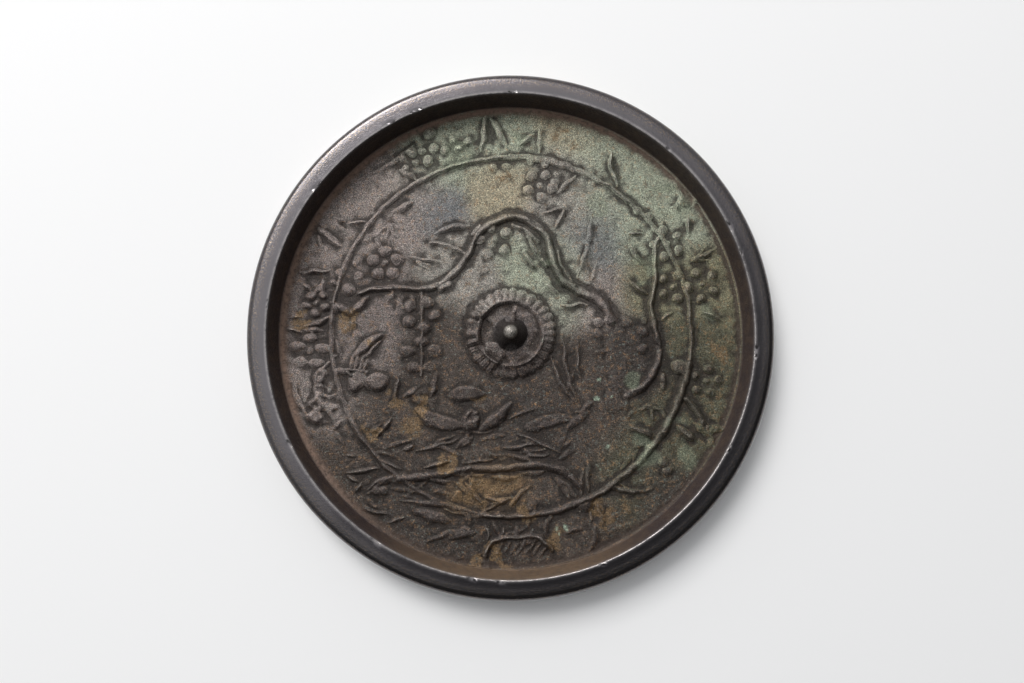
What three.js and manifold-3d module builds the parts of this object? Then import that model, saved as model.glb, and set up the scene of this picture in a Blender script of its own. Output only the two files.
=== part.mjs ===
// Cast bronze mirror lying on its flat reflecting face, with the decorated back upwards.
// Millimetres, +Z up. The origin is the centre of the reflecting face, +Y is the top of the picture.
// One casting: a disc with a high rim, a thin ring that parts the field in two zones, a knob pierced
// for a cord on a petalled seat, and plum boughs, birds, reeds and rocks in low relief.
import * as THREE from 'three';
import { mergeVertices } from 'three/addons/utils/BufferGeometryUtils.js';
import Module from 'manifold-3d';

// Driving dimensions.
const DIAMETER = 112;
const RIM_HEIGHT = 8.5;
const RIM_WIDTH = 4.5;
const DISC_THICKNESS = 2;
const WALL_BATTER = 0.65;
const RING_RADIUS = 39.5;
const RING_WIDTH = 1.1;
const RING_RISE = 0.5;
const SEAT_RADIUS = 9.8;
const SEAT_CREST_RADIUS = 7.2;
const SEAT_RISE = 1.5;
const SEAT_FLOOR_RISE = 0.5;
const SEAT_PETALS = 30;
const SCALLOP = 0.25;
const KNOB_RADIUS = 3.7;
const KNOB_TOP = 8;
const KNOB_TIP_RADIUS = 1.5;
const CORD_HOLE_WIDTH = 2.6;
const CORD_HOLE_HEIGHT = 2.2;
const BOUGH_RISE = 1.1;
const TRUNK_RISE = 0.7;
const LEAF_RISE = 0.7;
const BOSS_RISE = 0.9;
const WING_RISE = 0.9;

// Worked out from them.
const RADIUS = DIAMETER / 2;
const RIM_INNER = RADIUS - RIM_WIDTH;
const FIELD = DISC_THICKNESS;
const SINK = 0.25;
const ROUND_STEPS = 96;
const PETALS = 5;

const wasm = await Module();
wasm.setup();

// A closed three.js geometry as a solid for joining and cutting.
function solid(geometry) {
  const bare = new THREE.BufferGeometry();
  bare.setAttribute('position', geometry.attributes.position);
  if (geometry.index) bare.setIndex(geometry.index);
  const merged = mergeVertices(bare, 1e-4);
  const corners = merged.index.array;
  const kept = [];
  for (let i = 0; i < corners.length; i += 3) {
    const [a, b, c] = corners.slice(i, i + 3);
    if (a !== b && b !== c && c !== a) kept.push(a, b, c);
  }
  return new wasm.Manifold(new wasm.Mesh({
    numProp: 3,
    vertProperties: new Float32Array(merged.attributes.position.array),
    triVerts: new Uint32Array(kept),
  }));
}

// A turned form about the Z axis. Its outline runs from the axis below to the axis above.
function turned(outline, steps) {
  const points = outline.map(([radius, height]) => new THREE.Vector2(radius, height));
  return new THREE.LatheGeometry(points, steps).rotateX(Math.PI / 2);
}

function discWithRim() {
  const wallFoot = RIM_INNER - WALL_BATTER;
  return turned([
    [0, 0],
    [RADIUS - 1.1, 0],
    [RADIUS - 0.5, 0.6],
    [RADIUS, RIM_HEIGHT - 1.4],
    [RADIUS - 0.35, RIM_HEIGHT - 0.45],
    [RADIUS - 1.1, RIM_HEIGHT],
    [RIM_INNER + 0.4, RIM_HEIGHT],
    [RIM_INNER, RIM_HEIGHT - 0.25],
    [wallFoot, FIELD + 0.5],
    [wallFoot - 0.4, FIELD],
    [RING_RADIUS + RING_WIDTH / 2, FIELD],
    [RING_RADIUS, FIELD + RING_RISE],
    [RING_RADIUS - RING_WIDTH / 2, FIELD],
    [0, FIELD],
  ], ROUND_STEPS);
}

// Seat of the knob: a crested ring whose outer slope is scalloped into petals.
function seat() {
  const ring = turned([
    [0, FIELD - SINK],
    [SEAT_RADIUS, FIELD - SINK],
    [SEAT_RADIUS - 0.3, FIELD + 0.55 * SEAT_RISE],
    [SEAT_CREST_RADIUS, FIELD + SEAT_RISE],
    [SEAT_CREST_RADIUS - 0.8, FIELD + SEAT_FLOOR_RISE],
    [0, FIELD + SEAT_FLOOR_RISE],
  ], 2 * SEAT_PETALS);
  const position = ring.attributes.position;
  for (let i = 0; i < position.count; i += 1) {
    const radius = Math.hypot(position.getX(i), position.getY(i));
    if (radius > SEAT_CREST_RADIUS + 0.5) {
      const turn = Math.atan2(position.getY(i), position.getX(i));
      const scallop = SCALLOP * Math.cos(SEAT_PETALS * turn);
      position.setX(i, position.getX(i) + scallop * Math.cos(turn));
      position.setY(i, position.getY(i) + scallop * Math.sin(turn));
      position.setZ(i, position.getZ(i) + scallop / 2);
    }
  }
  return ring;
}

// Knob with a flared foot, a waist and a small round tip.
function knob() {
  const foot = FIELD + SEAT_FLOOR_RISE;
  const shoulder = KNOB_TOP - 0.75 * KNOB_TIP_RADIUS;
  const outline = [[0, FIELD - SINK], [KNOB_RADIUS + 0.2, FIELD - SINK]];
  const waistLevels = 6;
  for (let i = 0; i <= waistLevels; i += 1) {
    const lift = i / waistLevels;
    const flare = (KNOB_RADIUS - KNOB_TIP_RADIUS) * (1 - lift) ** 1.3;
    outline.push([KNOB_TIP_RADIUS + flare, foot + (shoulder - foot) * lift]);
  }
  const tipLevels = 3;
  for (let i = 1; i <= tipLevels; i += 1) {
    const turn = (Math.PI / 2) * (i / tipLevels);
    const radius = i === tipLevels ? 0 : KNOB_TIP_RADIUS * Math.cos(turn);
    outline.push([radius, shoulder + (KNOB_TOP - shoulder) * Math.sin(turn)]);
  }
  return turned(outline, 24);
}

// Arched hole for the cord. It runs through the knob from front to back, just above the seat.
function cordHole() {
  const half = CORD_HOLE_WIDTH / 2;
  const arch = new THREE.Shape();
  arch.moveTo(-half, 0);
  arch.lineTo(half, 0);
  arch.absarc(0, CORD_HOLE_HEIGHT - half, half, 0, Math.PI);
  arch.closePath();
  const depth = 2 * KNOB_RADIUS + 1.6;
  const bar = new THREE.ExtrudeGeometry(arch, { depth, curveSegments: 8, bevelEnabled: false });
  bar.rotateX(Math.PI / 2);
  return bar.translate(0, depth / 2, FIELD + SEAT_FLOOR_RISE + 0.05);
}

// A tapering ridge along a smooth curve. It is a closed tube whose lower half is sunk in the disc.
function ridge(route, width, rise, taper, steps, sides) {
  const curve = new THREE.CatmullRomCurve3(route.map(([x, y]) => new THREE.Vector3(x, y, 0)));
  const firstCorner = sides > 4 ? Math.PI / sides : 0;
  const tube = new THREE.CylinderGeometry(1, 1, 1, sides, steps, false, firstCorner);
  const position = tube.attributes.position;
  for (let i = 0; i < position.count; i += 1) {
    const along = position.getY(i) + 0.5;
    const at = curve.getPointAt(along);
    const tangent = curve.getTangentAt(along);
    const reach = position.getX(i) * (width / 2) * taper(along);
    const lift = position.getZ(i) * (rise * (0.4 + 0.6 * taper(along)) + SINK);
    position.setXYZ(i, at.x + tangent.y * reach, at.y - tangent.x * reach, FIELD - SINK + lift);
  }
  return tube;
}

const lens = (along) => Math.sin(Math.PI * (0.05 + 0.9 * along));
const blade = (along) => 1 - 0.8 * along;
const even = () => 1;

// Bough of a tree, rounded across.
function bough(route, width, steps, rise = BOUGH_RISE) {
  return ridge(route, width, rise, even, steps, 6);
}

// Leaf from its root, pointed at both ends, with a bow to one side.
function leaf([x, y, length, width, degrees, bow = 0], rise = LEAF_RISE) {
  const turn = THREE.MathUtils.degToRad(degrees);
  const ahead = [Math.cos(turn), Math.sin(turn)];
  const route = [0, 0.5, 1].map((along) => {
    const side = bow * 4 * along * (1 - along);
    const run = length * along;
    return [x + ahead[0] * run - ahead[1] * side, y + ahead[1] * run + ahead[0] * side];
  });
  return ridge(route, width, rise, lens, bow === 0 ? 2 : 4, 4);
}

// Tuft of thin blades from one root.
function tuft([x, y, length, width, ...turns]) {
  return turns.map((degrees) => {
    const turn = THREE.MathUtils.degToRad(degrees);
    const tip = [x + length * Math.cos(turn), y + length * Math.sin(turn)];
    return ridge([[x, y], tip], width, LEAF_RISE, blade, 1, 4);
  });
}

// Low dome: a bud, a petal or a bird's head.
function boss([x, y, radius, stretch = 1, degrees = 0]) {
  const dome = new THREE.SphereGeometry(radius, 7, 4).rotateX(Math.PI / 2);
  dome.scale(stretch, 1, (BOSS_RISE * Math.min(1, radius) + SINK) / radius);
  return dome.rotateZ(THREE.MathUtils.degToRad(degrees)).translate(x, y, FIELD - SINK);
}

// Plum blossom: five petals about a small heart. stretch widens the petals to left and right.
function blossom([x, y, spread, petal, degrees, stretch = 1]) {
  const parts = [boss([x, y, 0.6])];
  for (let i = 0; i < PETALS; i += 1) {
    const turn = THREE.MathUtils.degToRad(degrees) + (i * 2 * Math.PI) / PETALS;
    parts.push(boss([x + spread * Math.cos(turn), y + spread * Math.sin(turn), petal, stretch]));
  }
  return parts;
}

// Small bird: a long body with a head and a beak ahead of it, and its wings as broad leaves.
function bird({ at: [x, y], heading, size, wings }) {
  const turn = THREE.MathUtils.degToRad(heading);
  const ahead = (reach) => [x + reach * size * Math.cos(turn), y + reach * size * Math.sin(turn)];
  const parts = [boss([x, y, size, 1.4, heading]), boss([...ahead(1.7), 0.6 * size])];
  parts.push(...tuft([...ahead(2), 1.1 * size, 0.8, heading]));
  for (const wing of wings) parts.push(leaf(wing, WING_RISE));
  return parts;
}

const ringPoint = (degrees, radius = RING_RADIUS) => [
  radius * Math.cos(THREE.MathUtils.degToRad(degrees)),
  radius * Math.sin(THREE.MathUtils.degToRad(degrees)),
];

// The picture. Places are x, y from the centre of the disc.
const boughs = [
  bough([
    [-33, 9.3], [-26, 10.1], [-16, 10.6], [-11, 15], [-8, 20.5], [-3, 25], [1, 26], [7.5, 22],
    [9.8, 15], [14, 10], [20, 7], [22.3, 3],
  ], 2, 28),
  bough([[22.6, 1], [23, -5], [23.3, -10], [22.8, -15]], 4, 4, TRUNK_RISE),
  bough([[32.5, 21], [31.8, 12], [31, 7], [32.6, -4], [29, -11.5], [25.6, -13.6]], 1.4, 10),
  bough([-11, -30, -50, -70, -96].map((degrees) => ringPoint(degrees)), 1.8, 16),
  bough([[38.3, -14.5], [41.5, -18.5], [42.5, -20.3]], 1.4, 2),
  bough([[-14.8, -31], [-7, -30], [0, -29.5], [8, -29], [12, -30.7], [14.8, -33.5]], 1.9, 8),
  bough([[-5.5, -47.5], [-3, -44.6], [1, -44], [5, -43.6], [9, -46.5]], 1.2, 6),
];

// x, y, spread of the petals, petal radius, direction of the first petal, stretch
const blossoms = [
  [-27.8, 15.5, 2.7, 1.3, 20],
  [-19.7, 4.2, 3, 1.35, -5],
  [-19.5, -4.8, 3.1, 1.3, 18, 1.2],
  [-44, -4, 3.1, 1.1, 12, 1.5],
  [-3.7, 20.6, 3.2, 1.3, 32],
  [6.6, 33.1, 2.8, 1.1, 60],
  [34.7, 19.9, 2.9, 1.1, 40],
  [36, 10.4, 2.8, 1.1, 0],
  [42.3, 10.7, 3, 1.1, 45],
  [42.7, -10.5, 2.8, 1.1, 5],
  [-42.8, 6.2, 2, 0.8, 50],
].map(blossom);

// x, y, radius
const buds = [
  [-34, 16, 1.1], [-37.8, 13.3, 0.9], [-35.5, 9.7, 1.4], [-18, 45, 1.2], [-22, 40.6, 1],
  [-17.3, 41.3, 1], [-14.6, 41, 1], [-11.4, 41.3, 1], [-9.4, 43.2, 1], [-18.5, 38.5, 1.1],
  [-3.8, 37, 0.9], [-1, 37.2, 0.9], [28.4, 27.5, 1], [30.8, 26, 1], [19.4, 2.3, 1.2],
  [19.4, -0.1, 1], [25.5, 2.3, 1], [29, 0.5, 1.1], [29, -3.3, 1.1], [37, -7.3, 1.6],
  [16, -37.2, 1.5], [33, -28, 1], [-28.3, -34, 1.1],
].map(boss);

// x, y of the root, length, width, direction, bow
const leaves = [
  [-5.5, 49, 8, 1.6, -97], [-4.4, 48.4, 8, 1.6, -63], [6.5, 40.6, 5.4, 1.2, 88],
  [2, 42.3, 4, 1.2, 38], [-32, 35.5, 12, 1, 33, -0.8], [-24.6, 36.6, 4.4, 1.4, -32],
  [-26, 27, 5, 1.4, 28], [10.4, 31.4, 5.8, 1.4, 45], [7, 27, 5.2, 1.2, 13],
  [12, 27.6, 4.6, 1.1, -116], [17.8, 26, 14, 1.2, -103, 0.8], [26, 20.5, 7, 1.2, -60],
  [26.4, 11.5, 4.8, 1.1, -38], [40, 16, 5.6, 1.3, 27], [42, 5, 5.2, 1.2, -28],
  [24, 33, 8, 1.2, 100, 0.8], [-16.2, 22.2, 7.4, 1.6, 14, 0.5], [-23, 17, 8, 1.1, -8],
  [-42.6, 23.4, 7, 1.5, -38], [-46.5, 13.5, 6.6, 1.2, 3], [-38.6, 6.6, 3.8, 1.9, -34],
  [-31.5, 7.9, 5, 2, 225], [-45.3, 1.6, 5.6, 1.9, 20, -0.5], [-47.3, -10, 8.4, 1.2, -70, -0.8],
  [-24.5, -9, 6.2, 1.2, -97], [-23.5, -14, 4.3, 1.5, 36], [-16.4, -8.6, 5.6, 1.4, -101],
  [-13.3, -13.2, 6.8, 3, 4], [3.2, -20.6, 10.8, 2.6, 13, 0.4], [12.4, -20.4, 5.6, 2, 36],
  [-0.2, -18.7, 6.6, 1, 20], [1.5, -22, 10, 1.2, -24, 0.3], [-18.6, -29.2, 5.8, 1.2, 17],
  [11.6, 0, 15, 1.1, -80, -0.6], [14.9, 0, 10.6, 1.1, -88, -0.4], [8.8, -5, 11.4, 1.1, -63, -0.6],
  [11, 6.2, 6, 1, 2], [18.5, -4.3, 5.2, 1.2, 12], [26, -20.2, 7.2, 1.6, -23],
  [36.4, -20.3, 5, 1.6, -40], [9.7, -31, 6, 1.1, -57], [15.2, -35.4, 6.2, 1.1, 85],
  [17, -26, 7.6, 1.1, -91], [-9.8, -32.2, 6.2, 1.2, -52], [-21, -38.3, 8, 2.4, -16],
  [-33, -36, 7.6, 1.2, -24, -1], [-35.7, -30.4, 7.4, 1.2, 10], [18.4, -41, 6.4, 1.2, -108, 0.8],
  [-38, -21.2, 4, 1.3, -60], [-29, -22.4, 5, 1.2, 52], [-18, -45, 11, 1.4, 12, 1],
].map((place) => leaf(place));

// x, y of the root, length, width, directions
const tufts = [
  [-27, 24.4, 3.6, 1, -130, -95, -60, -20], [-8, -39.5, 6.5, 1.2, 10, 25, 150, 168],
  [28.4, -16.8, 3.2, 1, 22, -45, 100], [26.4, -34.4, 4, 1, 8, 145],
].map(tuft);

const birds = [
  bird({
    at: [-30, -10.6], heading: 188, size: 2.1,
    wings: [[-34.6, -7.4, 9.2, 1.7, 47, 0.3], [-33.4, -7.6, 6, 1.5, 52, -0.2]],
  }),
  bird({
    at: [-8.8, -19.2], heading: 80, size: 1.9,
    wings: [[-10.2, -20, 11, 3, 162, 1], [-6.9, -20.9, 8.9, 2.6, 40, -0.6]],
  }),
];

const rocks = [-9.5, -13, -17].map((y, i) => boss([-41.6 - 0.4 * i, y, 1.7, 1.3, 60 + 20 * i]));

const decoration = [boughs, blossoms, buds, leaves, tufts, birds, rocks].flat(Infinity);

// One casting: everything joined, then the cord hole cut.
let casting = solid(discWithRim()).add(solid(seat())).add(solid(knob()));
for (const form of decoration) casting = casting.add(solid(form));
casting = casting.subtract(solid(cordHole()));

const mesh = casting.getMesh();
const geometry = new THREE.BufferGeometry();
const corners = new THREE.BufferAttribute(new Float32Array(mesh.vertProperties), mesh.numProp);
geometry.setAttribute('position', corners);
geometry.setIndex(new THREE.BufferAttribute(mesh.triVerts, 1));
geometry.computeVertexNormals();

const bronze = new THREE.MeshStandardMaterial({ color: 0x6b655d, roughness: 0.55, metalness: 0.8 });
const mirror = new THREE.Mesh(geometry, bronze);
mirror.name = 'mirror';

const object = new THREE.Group();
object.add(mirror);
export default object;
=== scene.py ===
"""Looks of the ancient bronze mirror: one cast piece with fine relief, patina and corrosion.

The mirror lies on its reflecting face, back up. The relief is drawn in millimetres on a height map by
functions, and then becomes the mesh. +Y is the top of the picture.
"""
import math

import bpy
import numpy as np
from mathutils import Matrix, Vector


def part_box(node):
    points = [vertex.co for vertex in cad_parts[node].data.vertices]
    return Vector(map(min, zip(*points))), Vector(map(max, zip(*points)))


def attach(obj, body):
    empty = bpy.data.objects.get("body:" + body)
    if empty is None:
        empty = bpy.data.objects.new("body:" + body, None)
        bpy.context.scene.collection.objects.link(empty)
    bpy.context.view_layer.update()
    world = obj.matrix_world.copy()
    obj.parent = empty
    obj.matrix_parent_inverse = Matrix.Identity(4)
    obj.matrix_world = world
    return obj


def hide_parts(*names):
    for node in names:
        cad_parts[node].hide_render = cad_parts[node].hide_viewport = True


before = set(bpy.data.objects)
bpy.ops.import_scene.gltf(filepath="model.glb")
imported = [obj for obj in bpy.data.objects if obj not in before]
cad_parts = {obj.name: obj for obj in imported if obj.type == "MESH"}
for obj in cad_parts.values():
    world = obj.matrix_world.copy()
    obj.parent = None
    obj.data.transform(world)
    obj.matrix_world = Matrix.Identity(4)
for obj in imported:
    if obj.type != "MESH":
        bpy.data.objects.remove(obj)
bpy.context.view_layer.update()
mirror_low, mirror_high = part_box("mirror")

# ---------------------------------------------------------------- sizes in millimetres, turns in degrees
MM = 0.001
RADIUS = (mirror_high[0] - mirror_low[0]) / 2 / MM
RIM_HEIGHT = mirror_high[2] / MM
RIM_WIDTH = 4.5
RIM_INNER = RADIUS - RIM_WIDTH
RIM_EDGE_ROUND = 1.6
WALL_LEAN = 0.65
WALL_FOOT = RIM_INNER - WALL_LEAN
FIELD_HEIGHT = 2.0
RING_RADIUS = 39.5
SEAT_RADIUS = 9.8
SEAT_CREST = 7.2
SEAT_PETALS = 30
SEAT_FLOOR = FIELD_HEIGHT + 0.55
KNOB_FOOT = FIELD_HEIGHT - 0.4
KNOB_RADIUS = 3.7
KNOB_TOP = 8.0
KNOB_TIP = 1.5
CORD_HOLE_FLOOR = FIELD_HEIGHT + 0.62
CORD_HOLE_WIDTH = 2.6
CORD_HOLE_HEIGHT = 2.2

CAMERA_PLACE = (0.31, -12.85, 159.6)
CAMERA_TILT = 4.03
CAMERA_LENS = 25.31
FLOOR_HALF = 1500.0
FLOOR_GAP = 0.02
WINDOW_DIRECTION = (-0.5, 0.866, 0)

# the height map's cell and half width, and how finely the mesh is cut
CELL = 0.1
HALF_MAP = 52.0
FIELD_STEP = 0.16
WALL_COUNT = 720
RIM_COUNT = 420
KNOB_COUNT = 72
BORE_COUNT = 16
MOST_TRIANGLES = 185000

# wear: how far the drawing wavers and is softened; and how wide the hollows for painted shade and the crests
# for worn metal with a painted highlight are taken
WAVER = 0.12
SOFTENING = 0.07
CAVITY_REACH = 0.9
CREST_REACH = 0.32
LOWEST_PIT = 0.25
HIGHEST_RELIEF = 3.0

# ---------------------------------------------------------------- the height map
map_axis = np.arange(-HALF_MAP, HALF_MAP + CELL / 2, CELL)
MAP_X, MAP_Y = np.meshgrid(map_axis, map_axis)
MAP_R = np.hypot(MAP_X, MAP_Y)
MAP_TURN = np.arctan2(MAP_Y, MAP_X)
relief = np.zeros_like(MAP_X)


def blur(values, radius):
    """Gaussian blur by Fourier transform, radius in millimetres."""
    rate = np.fft.fftfreq(values.shape[0], CELL)
    falloff = np.exp(-2 * (math.pi * radius * rate) ** 2)
    return np.fft.ifft2(np.fft.fft2(values) * np.outer(falloff, falloff)).real


def cloud(size, seed):
    """Smooth random field of the given grain, with mean 0 and spread 1."""
    values = blur(np.random.default_rng(seed).standard_normal(relief.shape), size)
    return (values - values.mean()) / values.std()


def smoothstep(low, high, values):
    """0 below the low value, 1 above the high one and a soft step between them."""
    t = np.clip((values - low) / (high - low), 0, 1)
    return t * t * (3 - 2 * t)


def window(x_low, x_high, y_low, y_high):
    """The part of the map that covers a box."""
    def index(value):
        return int(np.clip(round((value + HALF_MAP) / CELL), 0, relief.shape[0] - 1))
    return slice(index(y_low), index(y_high) + 1), slice(index(x_low), index(x_high) + 1)


# ---------------------------------------------------------------- drawing tools
def smooth_path(points, spacing=0.5):
    """Catmull-Rom curve through the points, cut into short steps."""
    points = np.asarray(points, float)
    if len(points) == 2:
        steps = max(2, int(np.hypot(*(points[1] - points[0])) / spacing))
        return points[0] + np.linspace(0, 1, steps + 1)[:, None] * (points[1] - points[0])
    ends = np.vstack([2 * points[0] - points[1], points, 2 * points[-1] - points[-2]])
    path = []
    for before, start, end, after in zip(ends, ends[1:], ends[2:], ends[3:]):
        steps = max(2, int(np.hypot(*(end - start)) / spacing))
        for t in np.linspace(0, 1, steps, endpoint=False):
            path.append(0.5 * (2 * start + (end - before) * t
                               + (2 * before - 5 * start + 4 * end - after) * t ** 2
                               + (3 * start - before - 3 * end + after) * t ** 3))
    return np.array([*path, points[-1]])


# cross-sections: height by distance from the middle, from 0 to 1 at the edge
def round_section(u):
    return np.sqrt(np.clip(1 - u ** 2.4, 0, 1))


def button_section(u):
    """Flat top with a rounded edge."""
    return np.sqrt(np.clip(1 - u ** 4, 0, 1))


def hollow_section(u):
    """Raised edge with a sunk middle."""
    return round_section(u) * (1 - 0.5 * np.exp(-(u / 0.55) ** 4))


def veined_section(u):
    """Rounded leaf with a groove down the middle."""
    return round_section(u) * (1 - 0.5 * np.exp(-(u / 0.16) ** 2))


# how a stroke's width runs along it, from 0 at its root to 1 at its end
def even(along):
    return np.ones_like(along)


def blade(along):
    return 1 - 0.75 * along


def lens(along):
    return np.sin(math.pi * (0.04 + 0.92 * along)) ** 0.8


def stroke(points, width, rise, taper=even, section=round_section):
    """Raised line along a smooth path."""
    path = smooth_path(points)
    along = np.linspace(0, 1, len(path))
    half = np.maximum(0.5 * width * taper(along), 0.12)
    lift = rise * (0.45 + 0.55 * taper(along))
    for i in range(len(path) - 1):
        (ax, ay), (bx, by) = path[i], path[i + 1]
        reach = max(half[i], half[i + 1]) + CELL
        box = window(min(ax, bx) - reach, max(ax, bx) + reach, min(ay, by) - reach, max(ay, by) + reach)
        x = MAP_X[box] - ax
        y = MAP_Y[box] - ay
        run = np.array([bx - ax, by - ay])
        t = np.clip((x * run[0] + y * run[1]) / max(run @ run, 1e-9), 0, 1)
        away = np.hypot(x - t * run[0], y - t * run[1])
        here = half[i] + (half[i + 1] - half[i]) * t
        height = (lift[i] + (lift[i + 1] - lift[i]) * t) * section(np.clip(away / here, 0, 1))
        relief[box] = np.maximum(relief[box], height)


def boss(x, y, radius, rise=None, stretch=1.0, degrees=0.0, ring=0.0):
    """Low button, such as a bud, a petal or a bird's body. ring sinks its middle."""
    rise = 0.3 + 0.2 * radius if rise is None else rise
    reach = radius * max(stretch, 1) + CELL
    box = window(x - reach, x + reach, y - reach, y + reach)
    turn = math.radians(degrees)
    ahead = ((MAP_X[box] - x) * math.cos(turn) + (MAP_Y[box] - y) * math.sin(turn)) / stretch
    side = (MAP_Y[box] - y) * math.cos(turn) - (MAP_X[box] - x) * math.sin(turn)
    u = np.clip(np.hypot(ahead, side) / radius, 0, 1)
    height = rise * (0.5 * button_section(u) + 0.5 * round_section(u)) * (1 - ring * np.exp(-(u / 0.5) ** 2))
    relief[box] = np.maximum(relief[box], height)


def leaf(x, y, length, width, degrees, bow=0.0, rise=0.6, section=round_section):
    """Leaf from its root, pointed at both ends, bowed to one side."""
    turn = math.radians(degrees)
    ahead = np.array([math.cos(turn), math.sin(turn)])
    left = np.array([-ahead[1], ahead[0]])
    route = [np.array([x, y]) + ahead * length * t + left * bow * 4 * t * (1 - t) for t in (0, 0.5, 1)]
    stroke(route, width, rise, lens, section)


def tuft(x, y, length, width, *turns):
    """Thin blades from one root."""
    for degrees in turns:
        turn = math.radians(degrees)
        stroke([(x, y), (x + length * math.cos(turn), y + length * math.sin(turn))], width, 0.55, blade)


def blossom(x, y, spread, petal, degrees, stretch=1.0):
    """Plum blossom: five petals about a small heart."""
    boss(x, y, 0.6)
    for i in range(5):
        turn = math.radians(degrees + 72 * i)
        boss(x + spread * math.cos(turn), y + spread * math.sin(turn), petal, 0.55, stretch)


# ---------------------------------------------------------------- the picture
def draw_ring():
    """Thin raised ring that parts the field in two zones."""
    wander = 0.15 * np.sin(3 * MAP_TURN + 0.6)
    u = np.clip(np.abs(MAP_R - RING_RADIUS - wander) / 0.5, 0, 1)
    np.maximum(relief, 0.55 * round_section(u), out=relief)


def ring_arc(start, end, radius=RING_RADIUS):
    """Points along the ring, in degrees from the right, anticlockwise."""
    return [(radius * math.cos(math.radians(a)), radius * math.sin(math.radians(a)))
            for a in np.linspace(start, end, max(3, int(abs(end - start) / 8)))]


def draw_boughs():
    """The arched bough over the knob, the boughs at the right and the bottom, and thin twigs."""
    stroke([(-33.5, 8.8), (-31, 9.6), (-26, 10.1), (-20, 9.9), (-16, 10.6), (-13.5, 12.3), (-11, 15),
            (-9.7, 17), (-8.3, 20), (-6.5, 23), (-3, 25), (1, 26), (5, 24.3), (7.5, 22), (8.6, 19.5),
            (9.3, 16.5), (10.2, 13.8), (11.8, 11.6), (14, 10), (17, 8.6), (20, 7), (22.3, 3)],
           2.0, 1.1, lambda along: 0.55 + 0.55 * along)
    stroke([(22.6, 1), (23, -5), (23.3, -10), (22.8, -15)], 4.6, 0.42)
    boss(22, 3, 1.5, 1.0)
    stroke([(-15.5, 9.8), (-13.3, 10.8)], 1.5, 0.9)
    stroke([(32.5, 21), (31.8, 19), (31.9, 15), (31.8, 12), (31, 8), (30.8, 6), (31.6, 1), (32.6, -4),
            (31.5, -8), (29, -11.5), (25.6, -13.6)], 1.5, 0.95, lambda along: 0.6 + 0.6 * along)
    stroke(ring_arc(-10, -98), 1.9, 1.15, lambda along: 0.95 - 0.35 * along)
    stroke([(38.3, -14.5), (41.5, -18.5), (42.5, -20.3)], 1.4, 0.9)
    stroke([(22, -33.3), (26, -34.3), (30, -33.8)], 1.3, 0.8, blade)
    stroke([(-24, -31.6), (-18, -30.9), (-14.8, -30.8), (-10, -29.6), (-5, -29.3), (0, -29.2), (5, -28.6),
            (8, -28.9), (11.5, -30), (14.8, -33)], 1.6, 0.85)
    stroke([(-10.5, -28.2), (-7, -27.7), (-4, -27.5)], 0.8, 0.6, lens)
    stroke([(10, -31), (12, -33), (13.8, -36)], 1.1, 0.7, lens)
    for twig in ([(0.5, 24), (3, 23), (6.2, 20.5)], [(4, 21.5), (5.5, 18)], [(3, 18), (5, 15)],
                 [(7.2, 16.3), (8, 15)], [(8.3, 10.5), (10.3, 9)], [(10.5, 18), (11, 15.5), (13.5, 11.5)],
                 [(-17.8, 20), (-13.5, 19.5), (-10, 17.5)], [(-8.3, 22.2), (-6.8, 24)],
                 [(28.3, -16.8), (30.3, -16), (31, -18.5)], [(31.3, -16.3), (33, -17), (33.8, -18.3)],
                 [(0, 39.9), (8, 39.2), (16, 36.3), (22, 32.8), (26, 29.2)],
                 [(-19.6, 9), (-19.4, 0), (-19.6, -9)], [(-40, -6.5), (-42, -9.5), (-42.8, -12)]):
        stroke(twig, 0.75, 0.55)


# x, y, spread of the petals, petal radius, direction of the first petal, stretch of the petals along x
BLOSSOMS = (
    (-27.8, 15.5, 2.7, 1.3, 20, 1.1), (-19.7, 4.2, 3.0, 1.35, -5, 1.1), (-19.5, -4.8, 3.1, 1.25, 18, 1.3),
    (-44.1, -4, 3.0, 1.0, 12, 1.8), (-3.7, 20.6, 3.2, 1.3, 32, 1.0), (6.6, 33.1, 2.8, 1.15, 60, 1.1),
    (34.7, 19.9, 2.9, 1.05, 40, 1.0), (36.0, 10.4, 2.8, 1.05, 0, 1.0), (42.3, 10.7, 3.0, 1.05, 45, 1.0),
    (42.7, -10.5, 2.8, 1.05, 5, 1.0), (-42.8, 6.6, 2.1, 0.85, 50, 1.3),
)

# x, y, radius
BUDS = (
    (-34, 16, 1.1), (-39.2, 11.3, 0.8), (-37.9, 13.4, 0.9), (-33.5, 12.8, 1.0), (-35.5, 9.7, 1.5),
    (-18, 45, 1.3), (-22, 40.7, 1.1), (-24, 39.2, 0.9), (-19.8, 40.7, 0.9), (-17.3, 41.4, 1.1),
    (-14.7, 41, 1.1), (-11.4, 41.3, 1.1), (-9.3, 43.1, 1.1), (-12.8, 43.7, 0.9), (-18.5, 38.6, 1.2),
    (-21.3, 38.3, 0.8), (-23.5, 37, 0.8), (-3.8, 37, 0.9), (-1, 37.3, 0.9), (4.6, 38.6, 0.8),
    (7.5, 38, 0.9), (9.9, 33.8, 0.9), (28.3, 27.5, 1.0), (30.7, 26, 1.0), (19.4, 2.3, 1.2),
    (19.4, -0.1, 1.1), (25.5, 2.3, 1.1), (24.2, 0, 1.1), (29, 0.5, 1.2), (29, -3.3, 1.2),
    (25.8, -4, 0.9), (37, -7.3, 1.7), (16, -37.1, 1.6), (-29, -34, 1.1), (-27.4, -34.2, 1.0),
    (-5.5, 13.9, 0.7), (-9.6, 17.2, 0.9), (33, -28, 1.1), (34, -30, 1.0), (29.5, 3.0, 0.7),
)

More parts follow.
